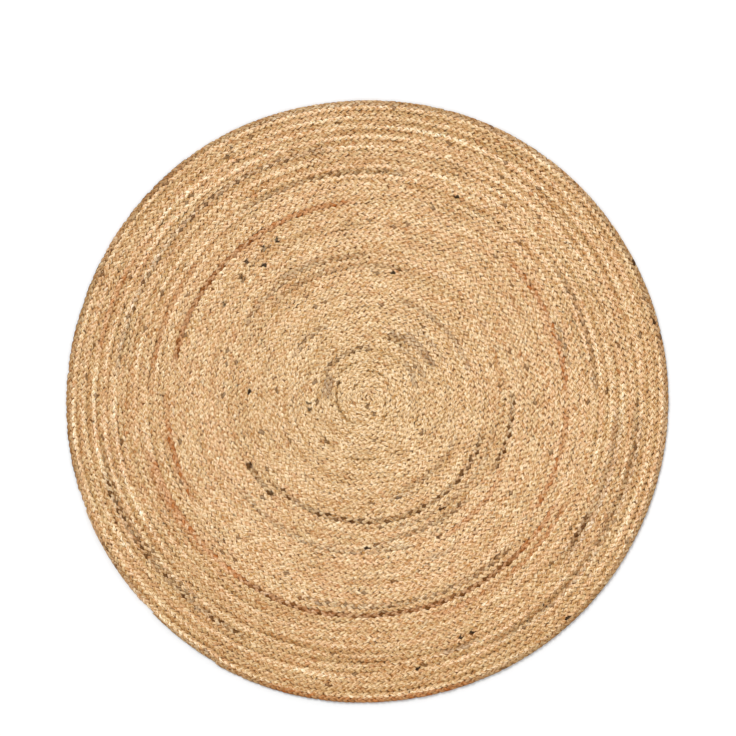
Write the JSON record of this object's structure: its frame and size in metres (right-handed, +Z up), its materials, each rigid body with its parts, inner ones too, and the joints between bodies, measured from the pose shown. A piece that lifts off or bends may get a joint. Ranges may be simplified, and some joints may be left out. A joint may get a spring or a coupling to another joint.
{
  "type": "round braided jute rug",
  "caption": "Flat round rug of natural jute: flat braids wound into a coil from the middle and sewn edge to edge, with ribbed rows on the face and a flat underside.",
  "frame": {"origin": "middle of the rug's outline, on the floor that it lies on", "axes": "+Z up, out of the face; +Y away from a viewer who looks at the picture the right way up; +X to the right"},
  "size_m": [1.1986, 1.1984, 0.008],
  "materials": {
    "natural_jute": "matte, dry plant fibre"
  },
  "bodies": {
    "root": {"braided_rug": "natural_jute"}
  },
  "joints": []
}
